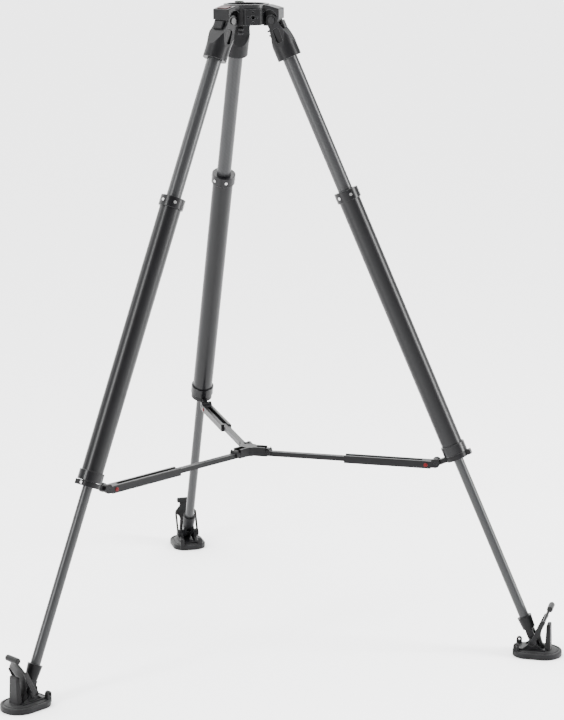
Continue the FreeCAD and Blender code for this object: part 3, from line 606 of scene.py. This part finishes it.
def drum(radius, length, place=(0, 0, 0), sides=40):
    """A cylinder lying along Y, its size and place applied."""
    bpy.ops.mesh.primitive_cylinder_add(
        vertices=sides, radius=radius, depth=length, location=place, rotation=ALONG_Y
    )
    piece = bpy.context.object
    bpy.ops.object.transform_apply(location=True, rotation=True, scale=True)
    return piece


def apply_modifier(piece, kind, **settings):
    bpy.context.view_layer.objects.active = piece
    modifier = piece.modifiers.new(kind.lower(), kind)
    for name, value in settings.items():
        setattr(modifier, name, value)
    bpy.ops.object.modifier_apply(modifier=modifier.name)


def fuse(name, parts, voxel, smoothing):
    """Join blocks and remesh them into one closed skin with soft inside corners."""
    bpy.ops.object.select_all(action="DESELECT")
    for part in parts:
        part.select_set(True)
    bpy.context.view_layer.objects.active = parts[0]
    bpy.ops.object.join()
    piece = bpy.context.object
    piece.name = name
    apply_modifier(piece, "REMESH", mode="VOXEL", voxel_size=voxel)
    apply_modifier(piece, "SMOOTH", factor=0.5, iterations=smoothing)
    bpy.ops.object.shade_smooth()
    print(name, "faces:", len(piece.data.polygons))
    return piece


# %% [markdown]
# ## The rubber sole
# A sole is a flat block with square-cut corners towards the tripod and a half-round toe away
# from it. Bevelling the upright edges gives that outline, and insets of the top face raise the
# shoulder, sink a groove round the rim and bring the middle up to the cradle. The sizes come
# from the rear shoe's box, because the rear leg points straight along Y.

# %% Model the sole
shoe_pivot = Vector(joints["shoe_tilt_rear"]["pos_m"])
pad_low, pad_high = (Vector(corner) - shoe_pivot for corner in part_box("shoe_pad_rear"))
HEEL = pad_low.y
TOE = pad_high.y
HALF_SOLE = pad_high.x
GROUND = pad_low.z
POST_TOP = pad_high.z
SOLE_WALL = 0.0095
SOLE_TOP = GROUND + 0.0125
HEEL_CORNER = 0.028
TOE_CORNER = HALF_SOLE * 0.9999
SAME_POINT = 0.0002
SOLE_STEPS = (
    # how far in, and how far up: shoulder, groove, rim of the groove, crown
    (0.0010, 0.0009), (0.0022, 0.0009), (0.0018, 0.0), (0.0008, -0.0016),
    (0.0018, 0.0), (0.0008, 0.0016), (0.0050, 0.0010), (0.0060, 0.0002),
)


def at_heel(middle, direction):
    return upright(middle, direction) and middle.x < 0


def at_toe(middle, direction):
    return upright(middle, direction) and middle.x > TOE - NEAR


def sole():
    piece = block("sole", (HEEL, -HALF_SOLE, GROUND), (TOE, HALF_SOLE, GROUND + SOLE_WALL))
    round_edges(piece, at_heel, HEEL_CORNER, 10)
    round_edges(piece, at_toe, TOE_CORNER, 16)
    bpy.ops.mesh.select_all(action="SELECT")
    bpy.ops.mesh.remove_doubles(threshold=SAME_POINT)
    pick_faces(piece, lambda middle, normal: normal.z > FACING)
    for inward, rise in SOLE_STEPS:
        bpy.ops.mesh.inset(thickness=inward, depth=rise)
    finish_editing()
    return piece


# %% [markdown]
# ## Lugs and post
# Two lugs with eyes stand at the heel, where a cord or a strap can be tied, and an upright post
# behind the toe is what the strap is stretched over. Each is a block with rounded edges; the
# eyes are cut by a Boolean, as a core pin would leave them.

# %% Model the lugs and the post
LUG_RADIUS = 0.0055
LUG_EYE = 0.0024
LUG_INSET = 0.0165
LUG_WIDTH = 0.009
LUG_RISE = 0.008
LUG_SETBACK = 0.003
LUG_FOOT = GROUND + 0.004
LUG_EDGE = 0.0012
POST_START = 0.0255
POST_THICKNESS = 0.008
POST_HALF_WIDTH = 0.011
POST_FOOT = SOLE_TOP - 0.004
POST_FLARE = (1.5, 1.25, 1)
POST_FLARE_FROM = (POST_START + 0.005, 0, POST_FOOT)
POST_EDGE = 0.0025
PAD_VOXEL = 0.0007


def lug(side):
    """One upright lug with an eye through it."""
    middle_x = HEEL + LUG_SETBACK + LUG_RADIUS
    top = SOLE_TOP + LUG_RISE + LUG_RADIUS
    inner, outer = sorted((side * LUG_INSET, side * (LUG_INSET + LUG_WIDTH)))
    foot = (middle_x - LUG_RADIUS, inner, LUG_FOOT)
    piece = block("lug", foot, (middle_x + LUG_RADIUS, outer, top))
    round_edges(
        piece, lambda middle, way: abs(way.y) > FACING and middle.z > top - NEAR,
        LUG_RADIUS * 0.98, 8,
    )
    round_edges(
        piece, lambda middle, way: abs(way.y) < 0.5 and middle.z > LUG_FOOT + 2 * NEAR,
        LUG_EDGE, 2,
    )
    finish_editing()
    core = drum(LUG_EYE, 3 * LUG_WIDTH, (middle_x, (inner + outer) / 2, top - LUG_RADIUS), 32)
    apply_modifier(piece, "BOOLEAN", object=core, operation="DIFFERENCE", solver="EXACT")
    bpy.data.objects.remove(core)
    return piece


def post():
    """The upright post, thicker at its foot, with its top and its corners rounded."""
    low = (POST_START, -POST_HALF_WIDTH, POST_FOOT)
    high = (POST_START + POST_THICKNESS, POST_HALF_WIDTH, POST_TOP)
    piece = block("post", low, high)
    pick_faces(piece, lambda middle, normal: normal.z < -FACING)
    bpy.ops.transform.resize(value=POST_FLARE, center_override=POST_FLARE_FROM)
    round_edges(piece, upright, POST_EDGE, 4)
    round_edges(piece, lambda middle, way: middle.z > POST_TOP - 0.1 * NEAR, POST_EDGE, 4)
    finish_editing()
    return piece


def shoe_pad():
    return fuse("shoe_pad_body", [sole(), lug(-1), lug(1), post()], PAD_VOXEL, 3)


# %% [markdown]
# ## The cradle
# The stiff cradle holds the foot's pin between two cheeks. Each cheek flares from its boss to
# the sole in a curve, so it is lofted downwards in steps that widen by a square law, and its
# outer face is inset to leave a raised rim, as a moulder would to save plastic. The pin crosses
# from one cheek to the other, inside the bosses.

# %% Model the cradle
CHEEK_INNER = 0.0124
CHEEK_THICKNESS = 0.006
BOSS_RADIUS = 0.0085
BOSS_HEIGHT = 0.0026
CHEEK_FOOT = 0.024
CHEEK_STEPS = 8
CHEEK_RIM = 0.0018
CHEEK_RECESS = 0.0018
WALL_DRAFT = 0.0005
BASE_FRONT = 0.027
BASE_BACK = -0.028
BASE_EDGE = 0.001
PIN_RADIUS = 0.003
CRADLE_VOXEL = 0.0005


def cheek(side):
    """One flared cheek, with its boss."""
    inner, outer = sorted((side * CHEEK_INNER, side * (CHEEK_INNER + CHEEK_THICKNESS)))
    piece = block("cheek", (-BOSS_RADIUS, inner, -NEAR), (BOSS_RADIUS, outer, 0.0))
    drop = (SOLE_TOP + 0.002) / CHEEK_STEPS
    width = BOSS_RADIUS
    for step in range(1, CHEEK_STEPS + 1):
        above = drop * (step - 1) - 0.5 * NEAR
        pick_faces(piece, lambda middle, normal: normal.z < -FACING and middle.z < above)
        bpy.ops.mesh.extrude_region_move(TRANSFORM_OT_translate={"value": (0, 0, drop)})
        wider = BOSS_RADIUS + (CHEEK_FOOT - BOSS_RADIUS) * (step / CHEEK_STEPS) ** 2
        bpy.ops.transform.resize(value=(wider / width, 1, 1), center_override=(0, 0, 0))
        width = wider
    below_boss = -0.006
    pick_faces(piece, lambda middle, normal: normal.y * side > FACING and middle.z < below_boss)
    bpy.ops.mesh.inset(thickness=CHEEK_RIM, depth=0)
    bpy.ops.mesh.inset(thickness=WALL_DRAFT, depth=-CHEEK_RECESS)
    finish_editing()
    boss_length = CHEEK_THICKNESS + BOSS_HEIGHT
    boss = drum(BOSS_RADIUS, boss_length, (0, side * (CHEEK_INNER + boss_length / 2), 0))
    bpy.ops.object.mode_set(mode="EDIT")
    bpy.ops.mesh.select_all(action="SELECT")
    bpy.ops.mesh.bevel(offset=WALL_DRAFT, segments=2)
    finish_editing()
    return [piece, boss]


def cradle_base():
    """The plate between the cheeks, sunk a little way into the sole."""
    half = CHEEK_INNER + CHEEK_THICKNESS + 0.002
    top = SOLE_TOP + 0.003
    low = (BASE_BACK, -half, SOLE_TOP - 0.0005)
    piece = block("cradle_base", low, (BASE_FRONT, half, top))
    round_edges(piece, upright, 0.004, 5)
    round_edges(piece, lambda middle, way: middle.z > top - 0.1 * NEAR, BASE_EDGE, 2)
    finish_editing()
    return piece


def pivot_pin():
    return drum(PIN_RADIUS, 2 * (CHEEK_INNER + CHEEK_THICKNESS), sides=32)


def shoe_cradle():
    parts = [cradle_base(), *cheek(-1), *cheek(1), pivot_pin()]
    return fuse("shoe_cradle_body", parts, CRADLE_VOXEL, 2)


# %% [markdown]
# ## The rubber strap
# One moulding runs from a hook in the cradle over the post to a cross grip that a boot or a
# glove can pull, with a band down each side to the bosses. The tongue is lofted: a flat rounded
# section is extruded from station to station, turned to follow the run, and widened at the
# shoulder where the bands leave it.

# %% Model the strap
STRAP_THICKNESS = 0.0062
STRAP_STATIONS = (
    # x, z and width at each station
    (0.0200, -0.0150, 0.018), (0.0150, -0.0090, 0.020), (0.0120, 0.0000, 0.022),
    (0.0105, 0.0080, 0.022), (0.0112, 0.0170, 0.023), (0.0140, 0.0260, 0.026),
    (0.0180, 0.0350, 0.032), (0.0205, 0.0420, 0.044), (0.0225, 0.0475, 0.048),
    (0.0245, 0.0530, 0.038), (0.0270, 0.0590, 0.026), (0.0310, 0.0680, 0.024),
)
GRIP_PLACE = (0.032, 0, 0.070)
GRIP_RADIUS = 0.006
GRIP_LENGTH = 0.034
GRIP_EDGE = 0.0022
BOSS_FACE = 0.0210
BAND_THICKNESS = 0.0036
BAND_HALF_WIDTH = 0.0045
BAND_EDGE = 0.0009
EYE_RADIUS = 0.0078
EYE_RIM = 0.0026
EYE_RECESS = 0.0022
BAND_TOP = Vector((0.0215, 0, 0.046))
STRAP_VOXEL = 0.0006


def lean(run):
    """How far a run leans from upright towards the toe."""
    return math.atan2(run.x, run.z)


def tongue():
    spots = [Vector((x, 0, z)) for x, z, _ in STRAP_STATIONS]
    widths = [width for _, _, width in STRAP_STATIONS]
    bpy.ops.mesh.primitive_circle_add(
        vertices=28, radius=0.5, fill_type="NGON", location=spots[0],
        rotation=(0, lean(spots[1] - spots[0]), 0),
    )
    piece = bpy.context.object
    piece.scale = (STRAP_THICKNESS, widths[0], 1)
    bpy.ops.object.transform_apply(location=True, rotation=True, scale=True)
    bpy.ops.object.mode_set(mode="EDIT")
    bpy.ops.mesh.select_all(action="SELECT")
    for index in range(1, len(spots)):
        step = spots[index] - spots[index - 1]
        bpy.ops.mesh.extrude_region_move(TRANSFORM_OT_translate={"value": step})
        if index < len(spots) - 1:
            turn = lean(spots[index + 1] - spots[index]) - lean(step)
            bpy.ops.transform.rotate(value=-turn, orient_axis="Y", center_override=spots[index])
        bpy.ops.transform.resize(
            value=(1, widths[index] / widths[index - 1], 1), center_override=spots[index]
        )
    bpy.ops.mesh.select_all(action="SELECT")
    bpy.ops.mesh.normals_make_consistent(inside=False)
    finish_editing()
    return piece


def grip():
    piece = drum(GRIP_RADIUS, GRIP_LENGTH, GRIP_PLACE, 32)
    bpy.ops.object.mode_set(mode="EDIT")
    tip = GRIP_LENGTH / 2 - 0.1 * NEAR
    round_edges(piece, lambda middle, way: abs(middle.y) > tip and abs(way.y) < 0.1, GRIP_EDGE, 4)
    finish_editing()
    return piece


def band(side):
    """One side band, with its eye over the boss."""
    inner, outer = sorted((side * BOSS_FACE, side * (BOSS_FACE + BAND_THICKNESS)))
    low = (-BAND_HALF_WIDTH, inner, 0)
    piece = block("band", low, (BAND_HALF_WIDTH, outer, BAND_TOP.length))
    bpy.ops.mesh.select_all(action="SELECT")
    bpy.ops.transform.rotate(value=-lean(BAND_TOP), orient_axis="Y", center_override=(0, 0, 0))
    bpy.ops.mesh.bevel(offset=BAND_EDGE, segments=2)
    finish_editing()
    eye = drum(EYE_RADIUS, BAND_THICKNESS, (0, (inner + outer) / 2, 0))
    bpy.ops.object.mode_set(mode="EDIT")
    pick_faces(eye, lambda middle, normal: normal.y * side > FACING)
    bpy.ops.mesh.inset(thickness=EYE_RIM, depth=0)
    bpy.ops.mesh.inset(thickness=0.0004, depth=-EYE_RECESS)
    finish_editing()
    return [piece, eye]


def shoe_strap():
    return fuse("shoe_strap_body", [tongue(), grip(), *band(-1), *band(1)], STRAP_VOXEL, 3)


# %% [markdown]
# ## Put the shoes on the legs
# Each moulding is made once, round the shoe's own pivot, and copied to the three legs, every copy
# with its own mesh. The place is applied, so that the object itself stays at the origin.


# %% Place the shoes
def place_on_leg(pattern, node, leg, finish):
    """A copy of a moulding at a leg's shoe pivot, in place of a CAD node."""
    pivot, outward, side = level_axes(leg)
    turn = Matrix((outward, side, UP)).transposed().to_4x4()
    piece = pattern.copy()
    piece.data = pattern.data.copy()
    bpy.context.collection.objects.link(piece)
    piece.name = f"moulded_{node}"
    piece.matrix_world = Matrix.Translation(pivot) @ turn
    bpy.ops.object.select_all(action="DESELECT")
    piece.select_set(True)
    bpy.context.view_layer.objects.active = piece
    bpy.ops.object.transform_apply(location=True, rotation=True, scale=True)
    piece.data.materials.clear()
    piece.data.materials.append(finish)
    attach(piece, f"shoe_{leg}")
    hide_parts(node)


for family, pattern, finish, slot in (
    ("shoe_pad", shoe_pad(), black_rubber, "rubber"),
    ("shoe_cradle", shoe_cradle(), moulded_black, "black_plastic"),
    ("shoe_strap", shoe_strap(), black_rubber, "rubber"),
):
    for leg in LEGS:
        place_on_leg(pattern, f"{family}_{leg}", leg, finish)
    bpy.data.objects.remove(pattern)
